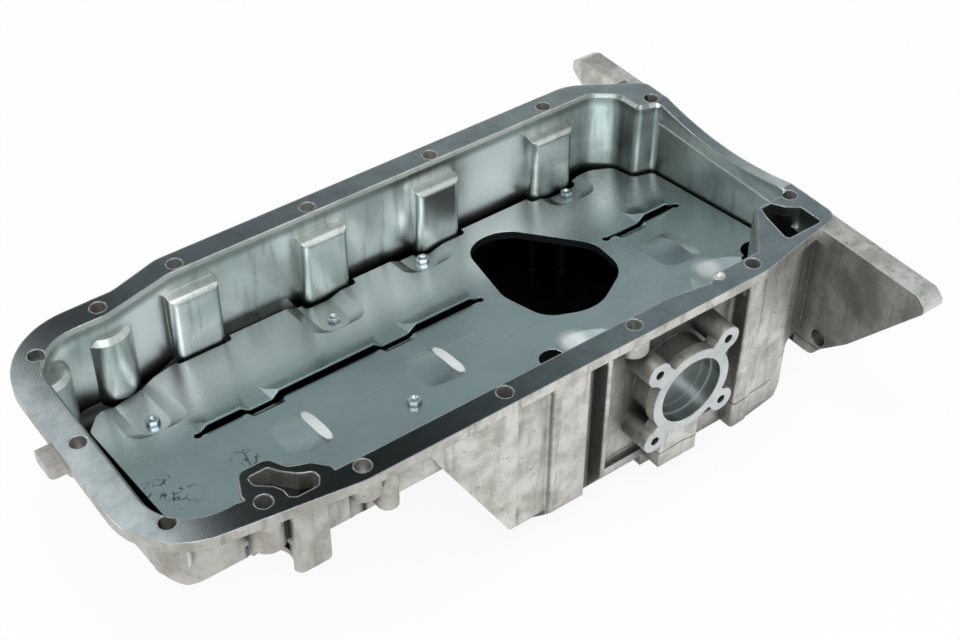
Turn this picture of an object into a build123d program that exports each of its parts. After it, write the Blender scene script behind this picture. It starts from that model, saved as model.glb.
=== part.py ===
from build123d import *
import math
import os

os.makedirs("parts", exist_ok=True)

# Axes: x runs along the crankshaft toward the gearbox, y across the engine, z up.
# Origin: middle of the rectangle of the four outer main bolts, on the machined rail face.

# Driving dimensions, in millimetres
bore_pitch = 86.0
bolt_rows = 187.5
rail_hole_d = 9.0
rail_thickness = 6.5
wall = 4.0
sump_depth = 118.0
flange_depth = 92.5
flange_thickness = 15.0
tilt = 7.6
sheet_height = -44.3
sheet = 1.5
seat_gap = 0.3
pad_hole_d = 5.6
recess_r = 21.3
screw_d = 6.0
screw_grip = 9.0

# Stations that follow from them
x_front = -1.5 * bore_pitch
x_rear = 1.5 * bore_pitch
x_nose = x_front - 114.0
x_mate = x_rear + 69.0
x_plate = x_mate - flange_thickness
x_inside = x_mate - 8.8
half = bolt_rows / 2
side_in = half - 7.25
side_out = side_in + wall
edge = half + 9.2
near_skin = -half - 8.6
bump_in = side_in - 9.25
deep = -sump_depth
main_bolts = [(i - 1.5) * bore_pitch for i in range(4)]
FAR = 400.0


def rounded(corners):
    """Face inside a closed outline of corners (x, y, radius)."""
    turns = []
    for i, (x, y, r) in enumerate(corners):
        corner = Vector(x, y)
        back = (Vector(*corners[i - 1][:2]) - corner).normalized()
        ahead = (Vector(*corners[(i + 1) % len(corners)][:2]) - corner).normalized()
        spread = math.radians(back.get_angle(ahead)) / 2
        reach = r / math.tan(spread)
        crown = corner + (back + ahead).normalized() * (r / math.sin(spread) - r)
        turns.append((corner + back * reach, crown, corner + ahead * reach, r))
    edges = []
    for i, (start, crown, stop, r) in enumerate(turns):
        if r > 0:
            edges.append(ThreePointArc(start, crown, stop).edge())
        edges.append(Line(stop, turns[(i + 1) % len(turns)][0]).edge())
    return Face(Wire(edges))


def column(face, low, high):
    """Upright prism of a plan face."""
    return extrude(Pos(0, 0, low) * face, amount=high - low, dir=(0, 0, 1))


def along_x(corners, x0, x1):
    """Prism along x of a (y, z, radius) outline."""
    turned = Plane(origin=(x0, 0, 0), x_dir=(0, 1, 0), z_dir=(1, 0, 0))
    return extrude(turned * rounded(corners), amount=x1 - x0, dir=(1, 0, 0))


def along_y(corners, y0, y1):
    """Prism along y of an (x, z, radius) outline."""
    turned = Plane(origin=(0, y0, 0), x_dir=(1, 0, 0), z_dir=(0, -1, 0))
    return extrude(turned * rounded(corners), amount=y1 - y0, dir=(0, 1, 0))


def block(x0, x1, y0, y1, z0, z1):
    """Box between two corners."""
    return Pos((x0 + x1) / 2, (y0 + y1) / 2, (z0 + z1) / 2) * Box(x1 - x0, y1 - y0, z1 - z0)


def rod(x, y, z0, z1, r):
    """Upright cylinder."""
    return Pos(x, y, (z0 + z1) / 2) * Cylinder(r, z1 - z0)


def rod_y(x, z, y0, y1, r):
    """Cylinder along y."""
    return Pos(x, (y0 + y1) / 2, z) * Rot(X=90) * Cylinder(r, y1 - y0)


def on_tilt(x, y, lift):
    """Place on the tilted sheet at plan position x, y, lifted square to it."""
    return Pos(0, 0, sheet_height) * Rot(X=-tilt) * Pos(x, y / math.cos(math.radians(tilt)), lift)


def under_sheet(drop):
    """Everything lower than this much under the sheet's upper face."""
    return on_tilt(0, 0, -drop - FAR / 2) * Box(2 * FAR, 2 * FAR, FAR)


# Plan outlines: the rail's outer edge, and the edge of its opening
rail_plan = rounded([
    (x_nose, -half + 7.25, 44),
    (x_front - 4, -edge, 60),
    (x_rear + 2, -edge, 40),
    (x_mate, -half + 2.75, 9),
    (x_mate, half - 17.75, 8),
    (x_rear + 26, edge, 30),
    (x_front - 7, edge, 20),
    (x_front - 38, half - 0.35, 20),
    (x_nose, half - 1.25, 47),
])
opening_plan = rounded([
    (x_nose + 18, -half + 16.75, 28),
    (x_front - 61, -half + 16.75, 18),
    (x_front - 21, -side_in, 18),
    (x_rear + 9.5, -side_in, 2),
    (x_rear + 35, -half + 35.75, 4),
    (x_inside, -half + 36.45, 1.5),
    (x_inside, half - 40.25, 4),
    (x_inside - 12.9, half - 36.25, 5),
    (x_inside - 14.7, half - 18.75, 10),
    (x_rear + 31, side_in, 12),
    (x_front - 7, side_in, 15),
    (x_front - 50, half - 18, 20),
    (x_nose + 18, half - 18.25, 26),
])
shell_plan = offset(opening_plan, amount=wall, kind=Kind.ARC)

# The near wall steps in and out between the bolts
skin_plan = rounded([
    (x_front + 34, -side_in + 6, 0),
    (x_front + 34, -side_out, 20),
    (x_front + 69, near_skin + 3, 30),
    (x_front + 84, near_skin, 20),
    (x_front + 89, near_skin, 1),
    (x_front + 90.5, near_skin + 4, 1),
    (x_front + 112, near_skin + 4, 1.5),
    (x_front + 113, near_skin, 2),
    (x_front + 137.5, near_skin, 3),
    (x_front + 138.5, -side_out, 2),
    (x_front + 148, -side_out, 2),
    (x_front + 148.5, near_skin, 1.2),
    (x_front + 151.5, near_skin, 1.2),
    (x_front + 153, -side_out, 3),
    (x_rear - 8, -side_out, 3),
    (x_rear - 7.5, near_skin, 2),
    (x_rear + 4, near_skin + 0.6, 1),
    (x_rear + 6, near_skin + 1.6, 2),
    (x_rear + 32, near_skin + 4.6, 12),
    (x_rear + 46, near_skin + 10.6, 8),
    (x_plate + 1, near_skin + 12.4, 0),
    (x_plate + 1, -side_in + 6, 0),
])

# Side view of the deep part: sloping front, flat bottom, step under the gearbox flange
front_slope = 1.718
foot = x_front + 97.0
foot_r = 26.0


def sump_profile(skin):
    """Side outline of the deep part, a wall thickness inward when skin is the wall."""
    rise = sump_depth - skin
    shift = skin * math.hypot(1, front_slope) / front_slope - skin / front_slope
    top = foot + shift - rise / front_slope
    return [
        (top - 20 / front_slope, 20, 0),
        (foot + shift, deep + skin, foot_r - skin),
        (x_rear + 38 - skin, deep + skin, 9 - skin),
        (x_rear + 38 - skin, -80 + skin, 4),
        (x_mate + 10, -80 + skin, 0),
        (x_mate + 10, 20, 0),
    ]


def tray_form(height, skin, bend):
    """Tilted tray: floor height on the crank line, skin outside the opening, rounded lower edges."""
    nose = x_nose + 18 - skin
    side = side_in + skin
    corner = half - 16.75 + skin
    front_y = x_front - 55
    roll = Pos(0, 0, height) * Rot(X=-tilt) * along_y([
        (nose, FAR / 2, 0), (nose, 0, bend), (FAR, 0, 0), (FAR, FAR / 2, 0)], -FAR, FAR)
    lean = math.tan(math.radians(tilt))
    wide = along_x([
        (-side, 20, 0), (-side, height + side * lean, bend),
        (side, height - side * lean, bend), (side, 20, 0)], front_y, FAR)
    slim = along_x([
        (-corner, 20, 0), (-corner, height + corner * lean, bend),
        (corner, height - corner * lean, bend), (corner, 20, 0)], -FAR, front_y)
    return roll & (wide + slim)


tray = column(shell_plan, -100, -1) & tray_form(sheet_height - 12, wall, 14)
sump = (column(shell_plan, deep, -1) + column(skin_plan, deep, -1)) & along_y(sump_profile(0.0), -FAR, FAR)
rail = column(rail_plan, -rail_thickness, 0)
casting = rail + tray + sump

# Gearbox flange with its two triangular wings
flange = along_x([
    (-half - 72, -1.5, 5),
    (-half - 80, -8, 5),
    (-half - 70.5, -19.4, 14),
    (-half - 32.9, -65.9, 30),
    (-half - 14.6, -83.5, 14),
    (-half - 8.6, -flange_depth + 0.5, 8),
    (-half - 2, -flange_depth, 0),
    (half - 6, -flange_depth, 8),
    (half + 4, -66, 20),
    (half + 25, -20.5, 12),
    (half + 37, -12.5, 5),
    (half + 36, -5.5, 4),
    (half + 28, -1.5, 4),
], x_plate, x_mate)
casting = casting + flange

# Near-left lug that carries the drain pocket, and the pocket's column outside
lug_plan = rounded([
    (x_front - 57.5, -half + 12, 0),
    (x_front - 57.5, -half + 17.5, 2),
    (x_front - 51.5, -half + 31.5, 6),
    (x_front - 35, -half + 31.5, 6),
    (x_front - 29.5, -half + 20.7, 6),
    (x_front - 19, -half + 16.7, 4),
    (x_front - 12, -side_in + 1.5, 3),
    (x_front - 12, -side_out, 0),
])
pocket_plan = rounded([
    (x_front - 49, -half + 26, 2),
    (x_front - 38, -half + 26, 2),
    (x_front - 34, -half + 20, 3),
    (x_front - 28, -half + 14, 3),
    (x_front - 21, -half + 10.5, 2.5),
    (x_front - 21, -half + 6, 2.5),
    (x_front - 24, -half + 1.7, 2),
    (x_front - 36, -half + 1.7, 2),
    (x_front - 39, -half + 4, 1),
    (x_front - 39, -half + 9, 2),
    (x_front - 41.5, -half + 14, 3),
    (x_front - 49, -half + 20, 3),
])
pocket_shell = rounded([
    (x_front - 54, -half + 31, 6),
    (x_front - 35, -half + 31, 6),
    (x_front - 17, -half + 13, 6),
    (x_front - 17.5, -half + 6, 4),
    (x_front - 22.8, -half - 4.2, 4),
    (x_front - 41.5, -half - 4.2, 4),
    (x_front - 43.5, -half + 10, 3),
    (x_front - 54, -half + 16, 4),
])

# Hollow of the tray and of the deep part
hollow = column(opening_plan, deep, 1) & (
    tray_form(sheet_height - 8, 0.0, 10) + along_y(sump_profile(wall), -FAR, FAR)
)
casting = casting - hollow
within = column(shell_plan, deep, -0.5) & (
    tray_form(sheet_height - 11, wall - 1, 13) + along_y(sump_profile(1.0), -FAR, FAR)
)

# Bolt channels on the far side show as bumps on the inner wall
bump_shift = [3.0, 1.5, -4.5, -3.0]
bump_top = 12.5
seat_depth = bump_top + wall
bump_half = 15.5
bump_profile = [
    (bump_in, -bump_top, 4),
    (side_in + 0.2, 1.5 - bump_top, 0),
    (side_out, 1.5 - bump_top, 0),
    (side_out, deep, 0),
    (bump_in, deep, 0),
]
for bolt_x, shift in zip(main_bolts, bump_shift):
    middle = bolt_x + shift
    plan = rounded([
        (middle - bump_half, bump_in, 4.5),
        (middle + bump_half, bump_in, 4.5),
        (middle + bump_half, side_out, 0),
        (middle - bump_half, side_out, 0),
    ])
    channel = rounded([
        (middle - bump_half + wall, bump_in + wall, 4),
        (middle + bump_half - wall, bump_in + wall, 4),
        (middle + bump_half - wall, edge + 30, 0),
        (middle - bump_half + wall, edge + 30, 0),
    ])
    bump = along_x(bump_profile, middle - bump_half, middle + bump_half) & column(plan, deep, 0)
    casting = casting + (bump & within)
    casting = casting + (rod(bolt_x, half, -seat_depth, -1, 9.5) - column(opening_plan, -FAR, 0))
    casting = casting - column(channel, deep - 5, -seat_depth)

# Round columns round the channels of the corner bolts
second_x = x_front - 50.5
second_y = half - 8.25
corner_x = x_front - 93.4
corner_y = half - 23.45
head_room = 11.5
far_corner_bolts = [(second_x, second_y), (corner_x, corner_y)]
crown = 3.0
for x, y in far_corner_bolts:
    shoulder = Pos(x, y, -bump_top - crown / 2) * Cone(head_room + wall, head_room + wall - crown, crown)
    casting = casting + ((rod(x, y, deep, -bump_top - crown, head_room + wall) + shoulder) & within)
casting = casting + (rod(main_bolts[0], -half, deep, -bump_top, 7.6 + wall) & within)
casting = casting + (column(lug_plan, deep, 0) & (within + column(lug_plan, -20, 0)))
casting = casting + column(pocket_shell, -48, -0.5)
casting = casting - column(pocket_plan, -44, 1)
for x, y in far_corner_bolts:
    casting = casting - rod(x, y, deep, -seat_depth, head_room)
casting = casting - rod(second_x, -second_y, deep, -30, head_room)
casting = casting - rod(main_bolts[0], -half, deep, -seat_depth, 7.6)

# Bosses under the rail at the near bolts, and the small one between two of them
outside = block(-FAR, FAR, -FAR, FAR, -FAR, 0) - column(opening_plan, -FAR, 0)
for x, y in [(bolt_x, -half) for bolt_x in main_bolts] + far_corner_bolts:
    casting = casting + (rod(x, y, -seat_depth, -1, 9.2) & outside)
for x, y in [(second_x, -second_y), (corner_x, -corner_y)]:
    casting = casting + (rod(x, y, -27, -1, 9.5) & outside)
casting = casting + (rod(x_nose + 10.4, 1.1, -seat_depth, -1, 9) & outside)
casting = casting + (rod(x_front + 13, -half - 0.5, -34, -1, 6) + block(
    x_front + 7, x_front + 19, -half - 0.5, -side_in - 1, -34, -1))
casting = casting + column(rounded([(x_nose - 8.5, -4.5, 3), (x_nose + 4, -4.5, 0), (x_nose + 4, 12.5, 0),
                                    (x_nose - 8.5, 12.5, 1)]), -11, -4)

# Near-right pocket beside the gearbox flange, with a ledge inside
right_pocket = rounded([
    (x_rear + 38, -half + 33, 2),
    (x_rear + 46, -half + 33, 2),
    (x_rear + 50, -half + 26, 4),
    (x_rear + 57.5, -half + 20, 2),
    (x_rear + 57.5, -half + 4, 2.5),
    (x_rear + 30.5, -half + 4, 2.5),
    (x_rear + 35, -half + 25, 5),
])
ledge = rounded([
    (x_rear + 40, -half + 31, 2),
    (x_rear + 45, -half + 31, 2),
    (x_rear + 46, -half + 22, 4),
    (x_rear + 46, -half + 7, 3),
    (x_rear + 35, -half + 7, 3),
])
casting = casting - column(right_pocket, -14, 1)
casting = casting - column(ledge, -34, -13)

# Shallow scallop in the near edge of the opening
scallop = loft([
    make_face(Polyline((62, -side_in + 2), (62, -side_in), (98.6, -half + 1), (101.4, -half + 2.8),
                       (106.5, -side_in), (106.5, -side_in + 2), close=True)),
    Pos(0, 0, -9) * make_face(Polyline((62, -side_in + 2), (62, -side_in + 0.1), (98.6, -side_in), (101.4, -side_in),
                                       (106.5, -side_in + 0.1), (106.5, -side_in + 2), close=True)),
], ruled=True)
casting = casting - scallop

# Four-bolt pad on the near side: ring, four lobes, blind recess with a step
pad_x = x_rear - 54.1
pad_z = -53.2
pad_face = -half - 17
pad_holes = [(pad_x - 25.6, pad_z + 25.5), (pad_x + 24, pad_z + 25.5),
             (pad_x - 24.1, pad_z - 26.1), (pad_x + 25, pad_z - 21.6)]
casting = casting + rod_y(pad_x, pad_z, pad_face, pad_face + 7, 27.5)
casting = casting + rod_y(pad_x, pad_z, pad_face + 2, -side_in - 0.5, 25)
for x, z in pad_holes:
    casting = casting + rod_y(x, z, pad_face, -side_in - 1, 7.8)
    reach = math.hypot(x - pad_x, z - pad_z)
    turn = math.degrees(math.atan2(z - pad_z, x - pad_x))
    casting = casting + Pos(pad_x, pad_face + 4, pad_z) * Rot(Y=-turn) * Pos(reach / 2, 0, 0) * Box(reach, 8, 13)
casting = casting + block(pad_x - 15, pad_x + 13, near_skin - 4, -side_out + 1, -110, pad_z - 15)
casting = casting + block(x_front + 152, x_rear - 7, -side_out - 3, -side_out + 1, deep, deep + 14)
casting = casting - rod_y(pad_x, pad_z, pad_face - 1, pad_face + 13, recess_r - 1.2)
casting = casting - rod_y(pad_x, pad_z, pad_face - 1, pad_face + 7, recess_r)
for x, z in pad_holes:
    casting = casting - rod_y(x, z, pad_face - 1, pad_face + 12, pad_hole_d / 2)

# The lower near edge is cut away up to the rear quarter, a little less at one block
for x0, x1, top in [(x_front, x_front + 112, 22), (x_front + 112, x_front + 138, 16),
                    (x_front + 138, x_front + 187, 22)]:
    casting = casting - along_x([
        (-half - 40, deep + top, 0), (near_skin - 0.2, deep + top, 0), (-half + 5.5, deep, 0),
        (-half + 5.5, deep - 10, 0), (-half - 40, deep - 10, 0)], x0, x1)

# Rear saddle: the rail strip dips where it passes under the crankshaft flange
saddle_half = 55.0
saddle_dip = 6.5
saddle_r = (saddle_half ** 2 + saddle_dip ** 2) / (2 * saddle_dip)
saddle = Pos((x_inside + x_mate) / 2 + 2, 1, saddle_r - saddle_dip) * Rot(Y=90) * Cylinder(saddle_r, 30)
casting = casting - saddle
casting = casting - block(x_inside - 1, x_inside + 1, -half + 38.5, half - 41.5, -14.3, 1)

# Holes of the rail; four of them are long bores through the columns and the gearbox flange
rear_x = x_mate - 8.8
rear_y = half - 32.65
rail_holes = [(x, s * half) for x in main_bolts for s in (-1, 1)]
rail_holes = rail_holes + [(second_x, s * second_y) for s in (-1, 1)]
rail_holes = rail_holes + [(corner_x, s * corner_y) for s in (-1, 1)]
rail_holes = rail_holes + [(x_nose + 10.4, 1.1)]
for x, y in rail_holes:
    casting = casting - rod(x, y, -seat_depth - 0.5, 1, rail_hole_d / 2)
long_bores = [(main_bolts[1], -half), (main_bolts[3], -half), (rear_x, -rear_y), (rear_x, rear_y)]
for x, y in long_bores:
    casting = casting - rod(x, y, deep - 1, 1, rail_hole_d / 2)

# Chamfer round the opening, and a shallow drilled mark on the rail
bevel = 2.2
casting = casting - (extrude(Pos(0, 0, -bevel) * opening_plan, amount=bevel + 1, taper=-40)
                     - column(lug_plan, -FAR, FAR))
casting = casting - Pos(x_rear - 22.3, -half + 3.4, -0.8) * Cone(0.1, 4.6, 2.4)

# Hole of the near wing
casting = casting - Pos(x_mate - 10, -half - 11.5, -76.5) * Rot(Y=90) * Cylinder(5.5, 40)

# Bosses that carry the sheet at its screws
screws = [(-177.6, 41.0), (-52.9, 55.6), (20.6, 71.0), (131.9, 70.9), (-62.6, -40.8), (x_rear + 13, -70.0)]
pad_depth = [2.5, 2.5, 2.5, 2.5, 0.0, 5.0]
for (x, y), depth in zip(screws, pad_depth):
    post = rod(x, y, deep, 0, 7.5) & within & under_sheet(depth + sheet + seat_gap)
    casting = casting + post
x, y = screws[0]
casting = casting + (rod(x, y, -80, -40, 9) & under_sheet(10) - under_sheet(16))
for (x, y), depth in zip(screws, pad_depth):
    casting = casting - on_tilt(x, y, -depth - screw_grip / 2 - 0.5) * Cylinder(screw_d / 2 + 0.3, screw_grip + 1)

# Drain boss low on the far wall
drain_x = 0.0
drain_z = deep + 20
drain_face = side_out + 9
casting = casting + rod_y(drain_x, drain_z, side_out - 2, drain_face, 15)
casting = casting - rod_y(drain_x, drain_z, side_in - 3, drain_face + 1, 7.2)

# Baffle sheet, drawn flat with its upper face at z = 0 and tilted at the end
stretch = 1 / math.cos(math.radians(tilt))


def flat(corners):
    """Plan outline laid into the tilted sheet."""
    return rounded([(x, y * stretch, r) for x, y, r in corners])


def pressed(form):
    """Press a raised form into the sheet, keeping its thickness."""
    return (sheet_body + form) - Pos(0, 0, -sheet) * form


def dished(wide, narrow, depth):
    """Dish the sheet between a wide upper and a narrow lower outline."""
    cup = loft([Pos(0, 0, 0.01) * wide, Pos(0, 0, -depth) * narrow], ruled=True)
    under = loft([Pos(0, 0, -sheet) * wide, Pos(0, 0, -depth - sheet) * narrow], ruled=True)
    return (sheet_body + under) - cup


sheet_plan = flat([
    (x_nose + 34.6, -half + 29.5, 12),
    (x_front - 60, -half + 29.5, 3),
    (x_front - 55, -half + 35, 3),
    (x_front - 33, -half + 35, 4),
    (x_front - 27.5, -half + 23.5, 4),
    (x_front - 17, -half + 19, 4),
    (x_front - 8, -side_in + 2, 4),
    (x_rear + 7, -side_in + 2, 3),
    (x_rear + 33, -half + 38, 3),
    (x_inside - 1.8, -half + 38.8, 2),
    (x_inside - 1.8, half - 42.25, 3),
    (x_inside - 14.5, half - 38.2, 4),
    (x_inside - 16.5, half - 20, 8),
    (x_rear + 30, side_in - 5.5, 10),
    (x_front + 5, side_in - 6, 10),
    (x_front - 20, half - 17, 20),
    (x_front - 70, half - 28.5, 10),
    (x_nose + 34.6, half - 40, 6),
])
for bolt_x, shift in zip(main_bolts, bump_shift):
    middle = bolt_x + shift
    sheet_plan = sheet_plan - flat([
        (middle - bump_half - 4, bump_in + 12, 0), (middle - bump_half - 2, bump_in - 1.8, 3),
        (middle + bump_half + 2, bump_in - 1.8, 3), (middle + bump_half + 4, bump_in + 12, 0),
    ])
sheet_plan = sheet_plan - Pos(x_front, -half * stretch) * Circle(14)
sheet_body = column(sheet_plan, -sheet, 0)

# Raised scales: a long ramp swells to an arched crest and drops faster toward the gearbox
scale_y = -22.0
scale_half = 17.0
scale_rise = 2.3
scale_x = [main_bolts[i] + 12.5 for i in (0, 1, 3)]


def segment(x, rise):
    """Upright face across the sheet, flat below and arched above."""
    return Plane(origin=(x, scale_y, 0), x_dir=(0, 1, 0), z_dir=(1, 0, 0)) * make_face([
        Line((-scale_half, -0.6), (scale_half, -0.6)),
        Line((scale_half, -0.6), (scale_half, -0.2)),
        ThreePointArc((scale_half, -0.2), (0, rise), (-scale_half, -0.2)),
        Line((-scale_half, -0.2), (-scale_half, -0.6)),
    ])


for x in scale_x:
    scale = loft([segment(x - 20, -0.1), segment(x, scale_rise), segment(x + 7.5, -0.1)], ruled=True)
    sheet_body = pressed(scale)

# Louvres: a straight cut with raised flaps on its far side and lips turned down on its near side
cut_y = 12.6
cut_half = 1.1
flap_rise = 4.8
flap_wide = 12.0
cuts = [(x_front - 36.1, x_rear - 108.6), (x_rear - 13.3, x_rear + 42.5)]
flaps = [(x_front - 35, x_front - 4), (x_front + 9.5, x_front + 82), (x_front + 100, x_rear - 109.5),
         (x_rear + 13, x_rear + 41)]
for x0, x1 in flaps:
    ramp = along_x([(cut_y, -0.5, 0), (cut_y, flap_rise, 0), (cut_y + flap_wide, -0.01, 30),
                    (cut_y + 2 * flap_wide, -0.01, 0), (cut_y + 2 * flap_wide, -0.5, 0)], x0, x1)
    ends = along_y([(x0, -0.6, 0), (x0, 0, 0), (x0 + 6, flap_rise + 0.1, 4), (x1 - 6, flap_rise + 0.1, 4),
                    (x1, 0, 0), (x1, -0.6, 0)], 0, 60)
    sheet_body = pressed(ramp & ends)
for x in scale_x:
    wide = rounded([(x - 18, cut_y - 6, 2), (x + 2, cut_y - 6, 2), (x + 4, cut_y, 0), (x - 20, cut_y, 0)])
    slim = rounded([(x - 15, cut_y - 2, 1), (x - 1, cut_y - 2, 1), (x + 1, cut_y, 0), (x - 17, cut_y, 0)])
    sheet_body = dished(wide, slim, 2.2)
for x0, x1 in cuts:
    sheet_body = sheet_body - block(x0, x1, cut_y - cut_half, cut_y + cut_half, -12, 20)
    sheet_body = sheet_body - rod(x0, cut_y, -5, 5, 2.3) - rod(x1, cut_y, -5, 5, 2.3)

# Dished seats for the screws; those at the far edge run out to it
for (x, y), depth in list(zip(screws, pad_depth))[:4]:
    far_y = side_in + 4
    wide = flat([(x - 17, y - 12, 10), (x + 18, y - 12, 10), (x + 18, far_y, 0), (x - 17, far_y, 0)])
    slim = flat([(x - 10, y - 9, 8), (x + 9, y - 9, 8), (x + 9, far_y, 0), (x - 10, far_y, 0)])
    sheet_body = dished(wide, slim, depth) & column(sheet_plan, -20, 20)
for x, y in [(x_rear + 13, -70.0), (x_front + 167, -73.0)]:
    wide = Pos(x, y * stretch, 0) * Circle(24.5)
    slim = Pos(x, y * stretch, 0) * Circle(10)
    sheet_body = dished(wide, slim, 5.0) & column(sheet_plan, -20, 20)
sheet_body = sheet_body - rod(x_front + 146.6, -59.3 * stretch, -12, 12, 8.3)
sheet_body = sheet_body - rod(x_rear + 45, -56.5 * stretch, -12, 12, 10)
for (x, y), depth in zip(screws, pad_depth):
    sheet_body = sheet_body - rod(x, y * stretch, -12, 12, screw_d / 2 + 0.3)

# Pickup opening with its rim turned down
pickup = flat([
    (32.5, 6.0, 22), (45.0, 62.0, 20), (74.0, 65.5, 22), (107.5, 14.0, 20),
    (103.0, -18.0, 26), (66.0, -40.0, 26), (38.0, -26.0, 18),
])
rim = column(offset(pickup, amount=sheet, kind=Kind.ARC), -5, 0) - column(pickup, -6, 1)
sheet_body = (sheet_body - column(pickup, -6, 1)) + rim
baffle = on_tilt(0, 0, 0) * sheet_body

# Hexagon flange screws of the sheet
hexagon = extrude(RegularPolygon(7.0 / math.sqrt(3), 6), amount=5.4)
head = Cylinder(5.9, 1.2, align=(Align.CENTER, Align.CENTER, Align.MIN))
head = chamfer(head.edges().sort_by(Axis.Z)[-1], 0.7) + hexagon
head = head & Pos(0, 0, 0) * Cone(7.6, 2.7, 6.9, align=(Align.CENTER, Align.CENTER, Align.MIN))
head = head - Pos(0, 0, 5.4) * Cone(0.1, 2.2, 1.2)
shank = Pos(0, 0, 0.5) * Cylinder(screw_d / 2 - 0.1, screw_grip, align=(Align.CENTER, Align.CENTER, Align.MAX))
screw = head + shank
turns = [12, 40, 5, 28, 50, 33]
set_of_screws = [
    on_tilt(x, y, seat_gap - depth) * Rot(Z=turn) * screw
    for (x, y), depth, turn in zip(screws, pad_depth, turns)
]

# Drain plug and its washer
washer_face = drain_face + seat_gap
head_face = washer_face + 1.6 + seat_gap
washer = rod_y(drain_x, drain_z, washer_face, washer_face + 1.6, 11.5)
washer = washer - rod_y(drain_x, drain_z, washer_face - 1, washer_face + 3, 7.3)
plug = rod_y(drain_x, drain_z, head_face, head_face + 2, 11)
plug = plug + Pos(drain_x, head_face + 1, drain_z) * Rot(X=-90) * extrude(
    RegularPolygon(17.0 / math.sqrt(3), 6), amount=8)
plug = plug + rod_y(drain_x, drain_z, head_face - 15, head_face + 1, 6.9)

print("casting", round(casting.volume), len(casting.solids()), casting.bounding_box())
print("baffle", round(baffle.volume), len(baffle.solids()), baffle.bounding_box())
export_step(casting, "parts/oil_pan_casting.step")
export_step(baffle, "parts/baffle_plate.step")
export_step(Compound(set_of_screws), "parts/baffle_screws.step")
export_step(plug, "parts/drain_plug.step")
export_step(washer, "parts/drain_plug_washer.step")
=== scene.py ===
# %% [markdown]
# An engine oil pan, cast in aluminium, with a zinc-plated steel baffle sheet screwed inside it.
# The solid parts come from the CAD model. This script gives each of them its finish, adds the
# fine things that a CAD model leaves out, and sets up the camera and the light.
# Every length here is in metres, in the frame of the CAD model: the origin is the middle of the
# main bolts on the machined rail, x points to the gearbox, y away from the round pad, z up.

# %%
import bpy
import math
from mathutils import Matrix, Vector


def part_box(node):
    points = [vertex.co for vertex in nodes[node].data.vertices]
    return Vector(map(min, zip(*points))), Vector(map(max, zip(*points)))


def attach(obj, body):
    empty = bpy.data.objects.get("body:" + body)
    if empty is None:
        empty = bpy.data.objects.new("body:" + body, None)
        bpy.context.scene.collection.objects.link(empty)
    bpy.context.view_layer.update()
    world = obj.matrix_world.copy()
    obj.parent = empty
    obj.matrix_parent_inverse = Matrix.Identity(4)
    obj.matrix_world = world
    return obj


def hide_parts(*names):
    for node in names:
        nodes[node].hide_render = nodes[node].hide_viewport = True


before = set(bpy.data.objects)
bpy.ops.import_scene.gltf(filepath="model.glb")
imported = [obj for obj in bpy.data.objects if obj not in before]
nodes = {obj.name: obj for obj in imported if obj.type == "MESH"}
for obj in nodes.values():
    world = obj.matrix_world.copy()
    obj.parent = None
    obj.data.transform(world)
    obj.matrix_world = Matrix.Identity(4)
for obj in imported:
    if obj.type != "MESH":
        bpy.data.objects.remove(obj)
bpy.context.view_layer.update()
for name, node in sorted(nodes.items()):
    print(name, len(node.data.vertices), "vertices", [m.name for m in node.data.materials])

# %% [markdown]
# Two small tools keep the material cells short. `colour` turns the hex value of a colour, as a
# paint chart or an image editor shows it, into the linear numbers that the renderer works with.
# `add` puts one node into a shader, sets its values, and joins its inputs to other nodes.


# %%
def colour(text):
    """Linear colour of an sRGB hex value."""
    parts = [int(text[i:i + 2], 16) / 255 for i in (1, 3, 5)]
    return [c / 12.92 if c <= 0.04045 else ((c + 0.055) / 1.055) ** 2.4 for c in parts] + [1.0]


def add(tree, kind, settings=None, **inputs):
    """One shader node. Inputs take a value, or a pair (node, output name) to link."""
    node = tree.nodes.new("ShaderNode" + kind)
    for key, value in (settings or {}).items():
        setattr(node, key, value)
    for key, value in inputs.items():
        name = key.replace("_", " ")
        socket = node.inputs[int(key[1:])] if key[0] == "i" and key[1:].isdigit() else node.inputs[name]
        if isinstance(value, tuple) and isinstance(value[0], bpy.types.Node):
            tree.links.new(value[0].outputs[value[1]], socket)
        else:
            socket.default_value = value
    return node


def new_material(name):
    """Empty material with its output, and the node tree."""
    material = bpy.data.materials.new(name)
    material.use_nodes = True
    tree = material.node_tree
    tree.nodes.clear()
    return material, tree


def maths(tree, operation, a, b=0.0, c=None):
    """Result of one sum, as a pair that can be linked."""
    inputs = {"i0": a, "i1": b}
    if c is not None:
        inputs["i2"] = c
    return (add(tree, "Math", {"operation": operation}, **inputs), 0)


def band(tree, value, low, high):
    """0 below low, 1 above high, a smooth step between."""
    node = add(tree, "MapRange", {"interpolation_type": "SMOOTHSTEP"}, Value=value)
    node.inputs["From Min"].default_value = low
    node.inputs["From Max"].default_value = high
    return (node, "Result")


def blend(tree, factor, a, b):
    """Mix of two colours."""
    node = add(tree, "Mix", {"data_type": "RGBA"})
    for index, value in ((0, factor), (6, a), (7, b)):
        if isinstance(value, tuple) and isinstance(value[0], bpy.types.Node):
            tree.links.new(value[0].outputs[value[1]], node.inputs[index])
        else:
            node.inputs[index].default_value = value
    return (node, 2)


print("white", colour("#ffffff"), "mid grey", [round(c, 3) for c in colour("#808080")])

# %% [markdown]
# Cast aluminium. The pan was cast in a steel mould and only its joint faces were machined, so one
# material holds three finishes: the grainy, stained outer skin, the smoother inner skin, and the
# bright milled faces. Which one shows depends on where a point lies and which way it faces, so
# this cell first works out masks from the place and the true normal. Smaller masks pick out the
# turned recess, the parting seam, the painted shade below the sheet and on the near wing's face,
# the top band left free of painted shade in corners, painted reflections on two stretches of the
# far wall, and the inner skin darker toward the gearbox end.


# %%
SHEET_TILT = 7.6       # degrees, about the x axis
SHEET_HEIGHT = -0.0443  # of the sheet's top face on the x axis


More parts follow.
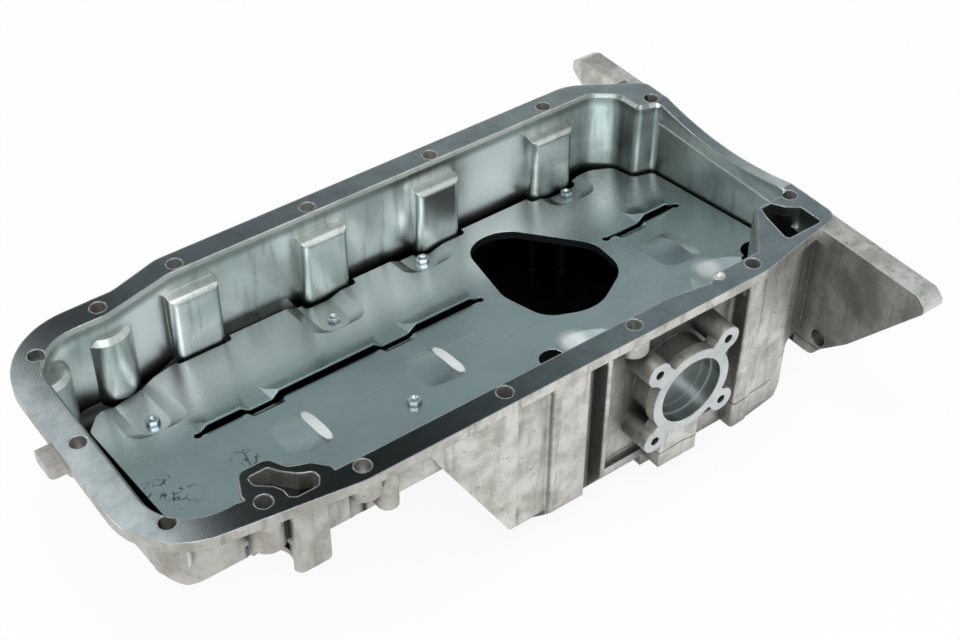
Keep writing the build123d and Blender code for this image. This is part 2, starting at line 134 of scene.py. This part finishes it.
def casting_masks(tree, place):
    """Masks of the casting, each 0 to 1, by name."""
    at = add(tree, "SeparateXYZ", Vector=(place, "Object"))
    facing = add(tree, "NewGeometry")
    side = add(tree, "SeparateXYZ", Vector=(facing, "True Normal"))

    # Milled faces: the rail, the gearbox face and the round pad
    top = maths(tree, "MULTIPLY", band(tree, (at, "Z"), -0.0003, -0.0001), band(tree, (side, "Z"), 0.8, 0.9))
    rear = maths(tree, "MULTIPLY", band(tree, (at, "X"), 0.1975, 0.1978), band(tree, (side, "X"), 0.8, 0.9))
    pad_y = maths(tree, "MULTIPLY", (at, "Y"), -1.0)
    pad_n = maths(tree, "MULTIPLY", (side, "Y"), -1.0)
    pad = maths(tree, "MULTIPLY", band(tree, pad_y, 0.1103, 0.1106), band(tree, pad_n, 0.8, 0.9))
    across = maths(tree, "SUBTRACT", (at, "X"), 0.0749)
    upward = maths(tree, "ADD", (at, "Z"), 0.0532)
    from_axis = maths(tree, "SQRT", maths(tree, "ADD", maths(tree, "MULTIPLY", across, across),
                                          maths(tree, "MULTIPLY", upward, upward)))
    recess = maths(tree, "MULTIPLY", maths(tree, "SUBTRACT", 1.0, band(tree, from_axis, 0.0213, 0.0214)),
                   band(tree, pad_y, 0.097, 0.0975))
    wide = maths(tree, "ABSOLUTE", (at, "Y"))
    saddle = maths(tree, "MULTIPLY", band(tree, (at, "X"), 0.183, 0.184), band(tree, (side, "Z"), 0.5, 0.6))
    saddle = maths(tree, "MULTIPLY", saddle, maths(tree, "SUBTRACT", 1.0, band(tree, wide, 0.074, 0.076)))
    milled = maths(tree, "MAXIMUM", maths(tree, "MAXIMUM", top, rear), maths(tree, "MAXIMUM", pad, recess))
    milled = maths(tree, "MAXIMUM", milled, saddle)

    # Inner skin: within the opening, and not turned away from its middle
    within = maths(tree, "MULTIPLY", maths(tree, "SUBTRACT", 1.0, band(tree, wide, 0.0872, 0.0885)),
                   maths(tree, "SUBTRACT", 1.0, band(tree, (at, "X"), 0.1898, 0.191)))
    within = maths(tree, "MULTIPLY", within, band(tree, (at, "X"), -0.2275, -0.2262))
    within = maths(tree, "MULTIPLY", within, band(tree, (side, "Z"), -0.6, -0.4))
    out_way = add(tree, "VectorMath", {"operation": "SUBTRACT"}, i0=(place, "Object"), i1=(-0.1, 0.0, 0.0))
    out_way = add(tree, "VectorMath", {"operation": "MULTIPLY"}, i0=(out_way, 0), i1=(1.0, 1.0, 0.0))
    out_way = add(tree, "VectorMath", {"operation": "NORMALIZE"}, i0=(out_way, 0))
    away = add(tree, "VectorMath", {"operation": "DOT_PRODUCT"}, i0=(out_way, 0), i1=(facing, "True Normal"))
    turned = maths(tree, "MULTIPLY", band(tree, (away, "Value"), 0.1, 0.3),
                   maths(tree, "SUBTRACT", 1.0, band(tree, (at, "X"), -0.13, -0.125)))
    inner = maths(tree, "MULTIPLY", within, maths(tree, "SUBTRACT", 1.0, turned))
    behind = maths(tree, "MULTIPLY", band(tree, (at, "Y"), 0.05, 0.06), band(tree, (side, "Y"), 0.3, 0.6))
    inner = maths(tree, "MULTIPLY", inner, maths(tree, "SUBTRACT", 1.0, behind))

    # Painted shade: a near-black tone on the inner skin below the tilted sheet, fading out just above its edge
    slope = math.tan(math.radians(SHEET_TILT))
    over = maths(tree, "SUBTRACT", maths(tree, "MULTIPLY_ADD", (at, "Y"), slope, (at, "Z")), SHEET_HEIGHT)
    shade_below_sheet = maths(tree, "MULTIPLY", maths(tree, "SUBTRACT", 1.0, band(tree, over, -0.004, 0.004)), inner)

    # Parting seam of the mould on the near wall, a step higher beside the gearbox flange
    level = add(tree, "MapRange", Value=(at, "X"))
    for socket, value in (("From Min", 0.155), ("From Max", 0.16), ("To Min", -0.0965), ("To Max", -0.0815)):
        level.inputs[socket].default_value = value
    waver = add(tree, "TexNoise", Vector=(place, "Object"), Scale=45.0, Detail=1.0)
    line = maths(tree, "SUBTRACT", (at, "Z"), (level, "Result"))
    line = maths(tree, "ABSOLUTE", maths(tree, "MULTIPLY_ADD", (waver, "Fac"), 0.006, line))
    seam = maths(tree, "SUBTRACT", 1.0, band(tree, line, 0.0002, 0.0006))
    near_side = maths(tree, "MULTIPLY", band(tree, pad_y, 0.084, 0.086), band(tree, (at, "X"), 0.026, 0.028))
    seam = maths(tree, "MULTIPLY", seam, near_side)

    # Painted shade, in streaks, on the face of the near wing that looks away from the gearbox
    wing = maths(tree, "MULTIPLY", band(tree, pad_y, 0.096, 0.104), band(tree, (at, "X"), 0.176, 0.18))
    wing = maths(tree, "MULTIPLY", wing, maths(tree, "SUBTRACT", 1.0, band(tree, (side, "X"), -0.6, -0.3)))
    # Top 10 mm of the walls, which the painted shade in corners leaves out
    shade_free_top = band(tree, (at, "Z"), -0.012, -0.010)

    # Painted reflections on two stretches of the far wall, and the inner skin darker toward the gearbox end
    far_side = maths(tree, "MULTIPLY", band(tree, (at, "Y"), 0.05, 0.07), inner)
    bright = 0.0
    for x, reach in ((-0.152, 0.022), (0.083, 0.03)):
        off = maths(tree, "ABSOLUTE", maths(tree, "SUBTRACT", (at, "X"), x))
        bright = maths(tree, "ADD", bright, maths(tree, "SUBTRACT", 1.0, band(tree, off, reach * 0.4, reach)))
    bright = maths(tree, "MULTIPLY", bright, far_side)
    darker_toward_gearbox = maths(tree, "MULTIPLY", band(tree, (at, "X"), 0.105, 0.15), inner)
    return {"milled": milled, "inner": inner, "shade_below_sheet": shade_below_sheet, "seam": seam, "wing": wing, "shade_free_top": shade_free_top,
            "recess": recess, "painted_reflection": bright, "darker_toward_gearbox": darker_toward_gearbox}


print("masks: milled faces, inner skin, metal below the sheet, parting seam")

# %% [markdown]
# The skin itself. Real castings show a fine grain from the mould, cloudy stains from the release
# spray, long streaks where the metal flowed, and dark specks of dirt. The milled faces carry
# fine cutter lines and a few straight scratches instead.


# %%
def cast_aluminium():
    """Aluminium casting: rough skin outside, smooth skin inside, milled joint faces."""
    material, tree = new_material("cast aluminium")
    place = add(tree, "TexCoord")
    masks = casting_masks(tree, place)
    milled, inner, recess = masks["milled"], masks["inner"], masks["recess"]
    at = add(tree, "SeparateXYZ", Vector=(place, "Object"))

    grain = add(tree, "TexNoise", Vector=(place, "Object"), Scale=1100.0, Detail=2.0)
    speck = add(tree, "TexNoise", Vector=(place, "Object"), Scale=420.0, Detail=2.0, Roughness=0.6)
    cloud = add(tree, "TexNoise", Vector=(place, "Object"), Scale=60.0, Detail=6.0, Roughness=0.68)
    smear = add(tree, "TexNoise", Vector=(place, "Object"), Scale=13.0, Detail=4.0, Distortion=1.4)
    tall = add(tree, "Mapping", Vector=(place, "Object"), Scale=(1.0, 1.0, 0.12))
    streak = add(tree, "TexNoise", Vector=(tall, "Vector"), Scale=170.0, Detail=3.0, Roughness=0.6)

    # Outer skin: pale grey, darker stains and streaks, dirt specks
    outer = blend(tree, band(tree, (cloud, "Fac"), 0.4, 0.66), colour("#dddcd7"), colour("#bdbbb4"))
    outer = blend(tree, maths(tree, "MULTIPLY", band(tree, (smear, "Fac"), 0.47, 0.66), 0.5), outer, colour("#98958d"))
    outer = blend(tree, maths(tree, "MULTIPLY", band(tree, (streak, "Fac"), 0.5, 0.72), 0.5), outer, colour("#8b8881"))
    outer = blend(tree, maths(tree, "MULTIPLY", band(tree, (speck, "Fac"), 0.64, 0.74), 0.6), outer, colour("#5b5852"))

    left = band(tree, maths(tree, "MULTIPLY", (at, "X"), -1.0), 0.06, 0.16)
    outer = blend(tree, maths(tree, "MULTIPLY", left, 0.35), outer, colour("#8d8b82"))

    # Inner skin: brighter, greenish grey, with upright flow streaks
    skin = blend(tree, band(tree, (smear, "Fac"), 0.35, 0.65), colour("#e8edea"), colour("#bec6c1"))
    skin = blend(tree, maths(tree, "MULTIPLY", band(tree, (streak, "Fac"), 0.48, 0.7), 0.45), skin, colour("#8f9995"))
    # Painted reflections, near white, on two stretches of the far wall; the inner skin darker toward the gearbox end
    skin = blend(tree, maths(tree, "MULTIPLY", masks["painted_reflection"], 0.9), skin, colour("#ffffff"))
    skin = blend(tree, maths(tree, "MULTIPLY", masks["darker_toward_gearbox"], 0.45), skin, colour("#56615f"))
    cast = blend(tree, inner, outer, skin)

    # Painted shade in corners, under edges, between ribs and on the near wing's face, but not in the top 10 mm; painted
    # shade on the top few millimetres of the inner wall under the rail; the seam; painted shade below the sheet
    corner = add(tree, "AmbientOcclusion", {"samples": 6}, Distance=0.026)
    painted_shade = maths(tree, "SUBTRACT", 1.0, band(tree, (corner, "AO"), 0.3, 0.95))
    painted_shade = maths(tree, "MULTIPLY", painted_shade, maths(tree, "MULTIPLY_ADD", inner, -0.3, 0.85))
    painted_shade = maths(tree, "MULTIPLY", painted_shade, maths(tree, "SUBTRACT", 1.0, masks["shade_free_top"]))
    wing_shade = maths(tree, "MULTIPLY", masks["wing"], maths(tree, "MULTIPLY_ADD", (smear, "Fac"), 0.8, 0.2))
    painted_shade = maths(tree, "MAXIMUM", painted_shade, wing_shade)
    cast = blend(tree, painted_shade, cast, colour("#4d4d4a"))
    # Painted shade on the top few millimetres of the inner wall, just under the rail
    shade_under_rail = maths(tree, "MULTIPLY", band(tree, (at, "Z"), -0.009, -0.004), inner)
    cast = blend(tree, maths(tree, "MULTIPLY", shade_under_rail, 0.75), cast, colour("#7d8682"))
    cast = blend(tree, maths(tree, "MULTIPLY", masks["seam"], 0.85), cast, colour("#2e2c29"))
    cast = blend(tree, maths(tree, "MULTIPLY", masks["shade_below_sheet"], 0.96), cast, colour("#15191a"))

    # Milled faces: cutter lines in large arcs, and scratches
    marks = add(tree, "TexWave", {"wave_type": "RINGS", "rings_direction": "Z"}, Vector=(place, "Object"),
                Scale=210.0, Distortion=1.5, Detail=3.0)
    slant = add(tree, "Mapping", Vector=(place, "Object"), Rotation=(0.0, 0.0, 0.9), Scale=(1.0, 0.02, 1.0))
    scratch = add(tree, "TexNoise", Vector=(slant, "Vector"), Scale=900.0, Detail=1.0)
    scored = band(tree, (scratch, "Fac"), 0.68, 0.72)
    bright = blend(tree, band(tree, (cloud, "Fac"), 0.35, 0.7), colour("#ccd1d1"), colour("#b4babb"))
    bright = blend(tree, maths(tree, "MULTIPLY", (marks, "Fac"), 0.05), bright, colour("#8b9192"))
    bright = blend(tree, maths(tree, "MULTIPLY", scored, 0.25), bright, colour("#f0f4f5"))
    bright = blend(tree, maths(tree, "MULTIPLY", recess, 0.75), bright, colour("#858b8b"))
    base = blend(tree, milled, cast, bright)

    rough_outer = maths(tree, "MULTIPLY_ADD", (cloud, "Fac"), 0.3, 0.38)
    rough_inner = maths(tree, "MULTIPLY_ADD", (smear, "Fac"), 0.3, 0.2)
    rough = add(tree, "Mix", {"data_type": "FLOAT"}, i0=inner, i2=rough_outer, i3=rough_inner)
    rough_milled = maths(tree, "MULTIPLY_ADD", (cloud, "Fac"), 0.09, 0.06)
    rough_milled = maths(tree, "MULTIPLY_ADD", recess, 0.2, rough_milled)
    rough = add(tree, "Mix", {"data_type": "FLOAT"}, i0=milled, i2=(rough, 0), i3=rough_milled)

    height = maths(tree, "MULTIPLY_ADD", (grain, "Fac"), 0.35, (cloud, "Fac"))
    height = maths(tree, "MULTIPLY_ADD", (speck, "Fac"), 0.3, height)
    height = maths(tree, "MULTIPLY", height, maths(tree, "SUBTRACT", 1.0, maths(tree, "MULTIPLY", inner, 0.8)))
    height = maths(tree, "MULTIPLY", height, maths(tree, "SUBTRACT", 1.0, milled))
    height = maths(tree, "MULTIPLY_ADD", maths(tree, "MULTIPLY", (marks, "Fac"), milled), 0.0025, height)
    soft = add(tree, "Bevel", {"samples": 4}, Radius=0.0011)
    bump = add(tree, "Bump", Height=height, Strength=0.6, Distance=0.0007, Normal=(soft, "Normal"))
    metal = add(tree, "BsdfPrincipled", Base_Color=base, Metallic=1.0, Roughness=(rough, 0), Normal=(bump, "Normal"))
    add(tree, "OutputMaterial", Surface=(metal, "BSDF"))
    return material


cast = cast_aluminium()
nodes["oil_pan_casting"].data.materials.clear()
nodes["oil_pan_casting"].data.materials.append(cast)
print(cast.name, len(cast.node_tree.nodes), "nodes")

# %% [markdown]
# Zinc-plated steel. The sheet has a satin, slightly blue surface, with a painted highlight on its
# slopes that face the gearbox and on two small spots, and a painted reflection that lightens its far
# part. Two patches of dark pen-like marks near its front edge and a few faint scratches are copied
# from the photograph. The screws and the plug carry the same plating on smoother steel, so they only
# differ in tone and sheen, and in how strongly painted shade darkens their corners.


# %%
def zinc(name, tone, shade, low, high, marks_and_painted_light=False):
    """Zinc plating with a faint cloudy pattern and painted shade in its corners; the sheet also has a painted
    highlight, a painted reflection on its far part, pen-like marks and scratches.
    """
    material, tree = new_material(name)
    place = add(tree, "TexCoord")
    cloud = add(tree, "TexNoise", Vector=(place, "Object"), Scale=16.0, Detail=5.0, Roughness=0.6)
    fine = add(tree, "TexNoise", Vector=(place, "Object"), Scale=1400.0, Detail=2.0)
    base = blend(tree, band(tree, (cloud, "Fac"), 0.35, 0.7), colour(tone), colour(shade))
    rough = add(tree, "MapRange", Value=(cloud, "Fac"))
    rough.inputs["To Min"].default_value = low
    rough.inputs["To Max"].default_value = high
    rough = (rough, "Result")
    # Painted shade in corners and where parts touch: strong on the screws, plug and washer, faint on the sheet
    corner = add(tree, "AmbientOcclusion", {"samples": 6}, Distance=0.0035)
    painted_shade = maths(tree, "SUBTRACT", 1.0, band(tree, (corner, "AO"), 0.4, 0.95))
    base = blend(tree, maths(tree, "MULTIPLY", painted_shade, 0.25 if marks_and_painted_light else 0.9), base, colour("#1f2426"))
    if marks_and_painted_light:
        at = add(tree, "SeparateXYZ", Vector=(place, "Object"))
        facing = add(tree, "NewGeometry")
        side = add(tree, "SeparateXYZ", Vector=(facing, "True Normal"))
        down = band(tree, (side, "X"), 0.05, 0.1)
        # Painted reflection: the far part of the sheet made lighter
        base = blend(tree, maths(tree, "MULTIPLY", band(tree, (at, "Y"), 0.02, 0.05), 0.7), base, colour("#dfe8ea"))
        # Painted highlight: near white on the slopes that face the gearbox in three lens-shaped stretches, and on two
        # round spots
        painted_highlight = 0.0
        for x, strength in ((-0.1128, 1.0), (-0.0268, 1.0), (0.1453, 0.35)):
            lens = add(tree, "Mapping", Vector=(place, "Object"), Location=(-x / 0.0045, 0.022 / 0.0165, 0.0),
                       Scale=(1 / 0.0045, 1 / 0.0165, 0.0))
            far = add(tree, "VectorMath", {"operation": "LENGTH"}, i0=(lens, "Vector"))
            inside = maths(tree, "SUBTRACT", 1.0, band(tree, (far, "Value"), 0.8, 1.0))
            painted_highlight = maths(tree, "MULTIPLY_ADD", inside, strength, painted_highlight)
        painted_highlight = maths(tree, "MULTIPLY", painted_highlight, down)
        for x, y, reach in ((0.1395, -0.05, 0.012), (0.0365, -0.0535, 0.012)):
            spot = add(tree, "CombineXYZ", X=x, Y=y)
            flat = add(tree, "CombineXYZ", X=(at, "X"), Y=(at, "Y"))
            away = add(tree, "VectorMath", {"operation": "DISTANCE"}, i0=(flat, 0), i1=(spot, 0))
            here = maths(tree, "SUBTRACT", 1.0, band(tree, (away, "Value"), reach * 0.3, reach))
            painted_highlight = maths(tree, "MULTIPLY_ADD", here, 0.8, painted_highlight)
        base = blend(tree, painted_highlight, base, colour("#ffffff"))
        rough = maths(tree, "MULTIPLY_ADD", painted_highlight, 0.3, rough)
        slant = add(tree, "Mapping", Vector=(place, "Object"), Rotation=(0.0, 0.0, 0.5), Scale=(0.03, 1.0, 1.0))
        scratch = add(tree, "TexNoise", Vector=(slant, "Vector"), Scale=520.0, Detail=1.0)
        scratched = maths(tree, "MULTIPLY", band(tree, (scratch, "Fac"), 0.7, 0.74), 0.3)
        base = blend(tree, scratched, base, colour("#dfe7e8"))
        bend = add(tree, "TexNoise", Vector=(place, "Object"), Scale=120.0, Detail=1.0)
        shaken = add(tree, "VectorMath", {"operation": "SCALE"}, i0=(bend, "Color"), Scale=0.012)
        shaken = add(tree, "VectorMath", {"operation": "ADD"}, i0=(place, "Object"), i1=(shaken, 0))
        cells = add(tree, "TexVoronoi", {"feature": "DISTANCE_TO_EDGE"}, Vector=(shaken, 0), Scale=150.0)
        lines = maths(tree, "SUBTRACT", 1.0, band(tree, (cells, "Distance"), 0.02, 0.07))
        lines = maths(tree, "MULTIPLY", lines, band(tree, (bend, "Fac"), 0.46, 0.54))
        for x, y, reach in ((-0.2, -0.011, 0.011), (-0.193, -0.026, 0.011), (-0.155, -0.02, 0.009)):
            spot = add(tree, "CombineXYZ", X=x, Y=y)
            flat = add(tree, "CombineXYZ", X=(at, "X"), Y=(at, "Y"))
            away = add(tree, "VectorMath", {"operation": "DISTANCE"}, i0=(flat, 0), i1=(spot, 0))
            here = maths(tree, "SUBTRACT", 1.0, band(tree, (away, "Value"), reach * 0.7, reach))
            base = blend(tree, maths(tree, "MULTIPLY", maths(tree, "MULTIPLY", lines, here), 0.85), base,
                         colour("#20282b"))
    soft = add(tree, "Bevel", {"samples": 4}, Radius=0.0007)
    bump = add(tree, "Bump", Height=(fine, "Fac"), Strength=0.15, Distance=0.0002, Normal=(soft, "Normal"))
    metal = add(tree, "BsdfPrincipled", Base_Color=base, Metallic=1.0, Roughness=rough, Normal=(bump, "Normal"))
    add(tree, "OutputMaterial", Surface=(metal, "BSDF"))
    return material


finishes = {
    "baffle_plate": zinc("satin zinc on the baffle sheet", "#b6c6c8", "#a6b5b8", 0.2, 0.33, marks_and_painted_light=True),
    "baffle_screws": zinc("bright zinc on the screws", "#d3dde2", "#b3c0c6", 0.08, 0.2),
    "drain_plug": zinc("zinc on the drain plug", "#c3c6c4", "#aeb2b1", 0.25, 0.4),
    "drain_plug_washer": zinc("soft aluminium of the washer", "#cbcbc8", "#b9b9b5", 0.35, 0.5),
}
for name, material in finishes.items():
    nodes[name].data.materials.clear()
    nodes[name].data.materials.append(material)
    print(name, "wears", material.name)

# %% [markdown]
# The screws of the sheet. The CAD model has them with plain shanks; here they get what a cold-formed
# hexagon flange screw shows: a head chamfered by a cone, a round dish pressed into its top, a
# tapered flange with a soft rim, and a rolled thread. Solid cutters shape the head, and the Screw
# modifier winds the thread's profile.


# %%
def chosen(ob):
    """Make one object the only selected and active one."""
    bpy.ops.object.select_all(action="DESELECT")
    ob.select_set(True)
    bpy.context.view_layer.objects.active = ob
    return ob


def cut(ob, cutter, operation):
    """Boolean of an object with a cutter, which is removed afterwards."""
    step = chosen(ob).modifiers.new("cut", "BOOLEAN")
    step.operation = operation
    step.solver = "EXACT"
    step.object = cutter
    bpy.ops.object.modifier_apply(modifier=step.name)
    bpy.data.objects.remove(cutter)


def flange_screw():
    """Hexagon flange screw, 7 mm across flats, upright with its flange's underside at the origin."""
    bpy.ops.mesh.primitive_cylinder_add(vertices=6, radius=0.00404, depth=0.0054, location=(0, 0, 0.0027))
    head = bpy.context.object
    bpy.ops.mesh.primitive_cone_add(vertices=48, radius1=0.0076, radius2=0.0027, depth=0.0069, location=(0, 0, 0.00345))
    cut(head, bpy.context.object, "INTERSECT")
    bpy.ops.mesh.primitive_uv_sphere_add(segments=32, ring_count=16, radius=0.0031, location=(0, 0, 0.0072))
    cut(head, bpy.context.object, "DIFFERENCE")
    bpy.ops.mesh.primitive_cone_add(vertices=48, radius1=0.0059, radius2=0.0046, depth=0.0013, location=(0, 0, 0.00065))
    flange = chosen(bpy.context.object)
    rim = flange.modifiers.new("rim", "BEVEL")
    rim.width = 0.0003
    rim.segments = 3
    bpy.ops.object.modifier_apply(modifier=rim.name)
    bpy.ops.mesh.primitive_cylinder_add(vertices=32, radius=0.00262, depth=0.0084, location=(0, 0, -0.0042))
    core = bpy.context.object
    profile = bpy.data.meshes.new("thread")
    profile.from_pydata([(0.0026, 0, -0.0085), (0.0029, 0, -0.0080), (0.0026, 0, -0.0075)], [(0, 1), (1, 2)], [])
    thread = bpy.data.objects.new("thread", profile)
    bpy.context.scene.collection.objects.link(thread)
    wind = chosen(thread).modifiers.new("wind", "SCREW")
    wind.screw_offset = 0.001
    wind.iterations = 7
    wind.steps = wind.render_steps = 24
    bpy.ops.object.modifier_apply(modifier=wind.name)
    chosen(head)
    for part in (flange, core, thread):
        part.select_set(True)
    bpy.ops.object.join()
    return head


seats = [(-0.1776, 0.0410, 0.0025, 12), (-0.0529, 0.0556, 0.0025, 40), (0.0206, 0.0710, 0.0025, 5),
         (0.1319, 0.0709, 0.0025, 28), (-0.0626, -0.0408, 0.0, 50), (0.142, -0.070, 0.005, 33)]
lean = math.radians(-SHEET_TILT)
seat_gap = 0.0003
master = flange_screw()
copies = []
for x, y, depth, turn in seats:
    copy = master.copy()
    copy.data = master.data.copy()
    bpy.context.scene.collection.objects.link(copy)
    place = Matrix.Translation((0, 0, SHEET_HEIGHT)) @ Matrix.Rotation(lean, 4, "X")
    place = place @ Matrix.Translation((x, y / math.cos(lean), seat_gap - depth))
    copy.matrix_world = place @ Matrix.Rotation(math.radians(turn), 4, "Z")
    copies.append(copy)
bpy.data.objects.remove(master)
screws = chosen(copies[0])
for copy in copies:
    copy.select_set(True)
bpy.ops.object.join()
bpy.ops.object.transform_apply(location=True, rotation=True, scale=True)
bpy.ops.object.shade_smooth_by_angle(angle=math.radians(30))
screws.name = "sheet_screws"
screws.data.materials.clear()
screws.data.materials.append(finishes["baffle_screws"])
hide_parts("baffle_screws")
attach(screws, "root")
print("screws", len(seats), "with", sum(len(face.vertices) - 2 for face in screws.data.polygons), "triangles")

# %% [markdown]
# The floor is where the pan stands, at the height of its flat underside. It shows white to the
# camera and to reflections, and lets a little of the pan's own shadow through.

# %%
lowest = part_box("oil_pan_casting")[0]
bpy.ops.mesh.primitive_plane_add(size=8.0, location=(0, 0, lowest.z - 0.0002))
floor = bpy.context.object
floor.name = "floor"
material, tree = new_material("white floor")
path = add(tree, "LightPath")
seen = maths(tree, "MAXIMUM", (path, "Is Camera Ray"), (path, "Is Glossy Ray"))
seen = maths(tree, "MAXIMUM", seen, (path, "Is Transmission Ray"))
white = add(tree, "Emission", Color=colour("#ffffff"), Strength=1.0)
plain = add(tree, "BsdfDiffuse", Color=colour("#f4f4f4"))
mixed = add(tree, "MixShader", i0=maths(tree, "MULTIPLY", seen, 0.9), i1=(plain, "BSDF"), i2=(white, "Emission"))
add(tree, "OutputMaterial", Surface=(mixed, "Shader"))
floor.data.materials.append(material)
print("floor at", round(floor.location.z, 4))

# %% [markdown]
# The light is a photo studio. Metal shows what surrounds it, so most of the work is in the room,
# not in the lamps: walls that are white near the floor and grow grey with height, a dark gap
# high up behind the pan, and a white screen at the left whose edge cuts across the rail. The
# flat sheet mirrors the grey part, the near rail the dark gap, its front end the white screen.

# %%
world = bpy.data.worlds.new("studio")
bpy.context.scene.world = world
world.use_nodes = True
tree = world.node_tree
tree.nodes.clear()
way = add(tree, "TexCoord")
split = add(tree, "SeparateXYZ", Vector=(way, "Generated"))


def toward(azimuth, height):
    """Direction from its azimuth, from +y toward +x, and its height, in degrees."""
    a, h = math.radians(azimuth), math.radians(height)
    return (math.sin(a) * math.cos(h), math.cos(a) * math.cos(h), math.sin(h))


def patch(picture, azimuth, height, inner, outer, tone, strength=1.0):
    """Round patch of one tone on the room, soft between two angles from its middle."""
    near = add(tree, "VectorMath", {"operation": "DOT_PRODUCT"}, i0=(way, "Generated"), i1=toward(azimuth, height))
    mask = band(tree, (near, "Value"), math.cos(math.radians(outer)), math.cos(math.radians(inner)))
    return blend(tree, mask, picture, [c * strength for c in colour(tone)])


ramp = add(tree, "ValToRGB", Fac=(split, "Z"))
stops = [(0, "#ffffff"), (12, "#f4f6f6"), (20, "#d5dbdb"), (27, "#bac3c4"), (33, "#9ba5a6"), (38, "#89949a"),
         (44, "#818c90"), (54, "#848e90"), (64, "#e9eded"), (90, "#ffffff")]
heights = [(math.sin(math.radians(angle)), tone) for angle, tone in stops]
ramp.color_ramp.elements[0].color = colour(heights[0][1])
ramp.color_ramp.elements[1].position = heights[-1][0]
ramp.color_ramp.elements[1].color = colour(heights[-1][1])
for position, tone in heights[1:-1]:
    ramp.color_ramp.elements.new(position).color = colour(tone)
behind = maths(tree, "MULTIPLY", (split, "Y"), -1.0)
room = blend(tree, band(tree, behind, -0.05, 0.35), (ramp, "Color"), colour("#eef1f1"))
room = patch(room, 27, 50, 3, 15.5, "#25292a")
room = patch(room, 16, 41, 1, 5, "#2b2e2f")
room = patch(room, -4, 52, 16.6, 17.1, "#eef6f9", 1.0)
room = patch(room, 56, 18, 4, 9, "#ffffff", 3.0)
path = add(tree, "LightPath")
sky = blend(tree, (path, "Is Camera Ray"), room, colour("#ffffff"))
back = add(tree, "Background", Color=sky, Strength=1.0)
add(tree, "OutputWorld", Surface=(back, "Background"))


def lamp(name, place, aim, width, depth, power):
    """Soft rectangular lamp that looks at a point."""
    light = bpy.data.lights.new(name, "AREA")
    light.shape = "RECTANGLE"
    light.size = width
    light.size_y = depth
    light.energy = power
    ob = bpy.data.objects.new(name, light)
    bpy.context.scene.collection.objects.link(ob)
    ob.location = place
    ob.rotation_euler = (Vector(aim) - Vector(place)).to_track_quat("-Z", "Y").to_euler()
    return ob


for name, place, width, depth, power in (
    ("softbox over the pan", (-0.1, -0.15, 1.3), 0.6, 0.5, 3.2),
    ("lamp beside the camera", (-0.7, -0.9, 1.1), 0.7, 0.5, 5.5),
    ("lamp at the left", (-1.3, 0.7, 0.8), 0.5, 0.4, 3.5),
):
    light = lamp(name, place, (0, 0, 0), width, depth, power)
    print(light.name, light.data.energy, "W")

# %% [markdown]
# The camera stands in front of the near left corner and looks down. Its place, turn and focal
# length were worked out from the bolt holes in the photograph, whose true places are known.

# %%
camera_data = bpy.data.cameras.new("camera")
camera = bpy.data.objects.new("camera", camera_data)
bpy.context.scene.collection.objects.link(camera)
yaw, pitch, roll = (math.radians(angle) for angle in (36.936, 41.902, 0.566))
ahead = Vector((math.sin(yaw) * math.cos(pitch), math.cos(yaw) * math.cos(pitch), -math.sin(pitch)))
right = Vector((math.cos(yaw), -math.sin(yaw), 0))
above = right.cross(ahead)
right, above = (right * math.cos(roll) + above * math.sin(roll), above * math.cos(roll) - right * math.sin(roll))
turn = Matrix((right, above, -ahead)).transposed()
camera.matrix_world = Matrix.Translation((-0.41008, -0.56053, 0.58137)) @ turn.to_4x4()
camera_data.sensor_width = 36.0
camera_data.lens = 1642.77 / 960 * 36.0
camera_data.dof.use_dof = False
bpy.context.scene.camera = camera
bpy.context.scene.view_settings.view_transform = "Standard"
print("lens", round(camera_data.lens, 2), "mm")
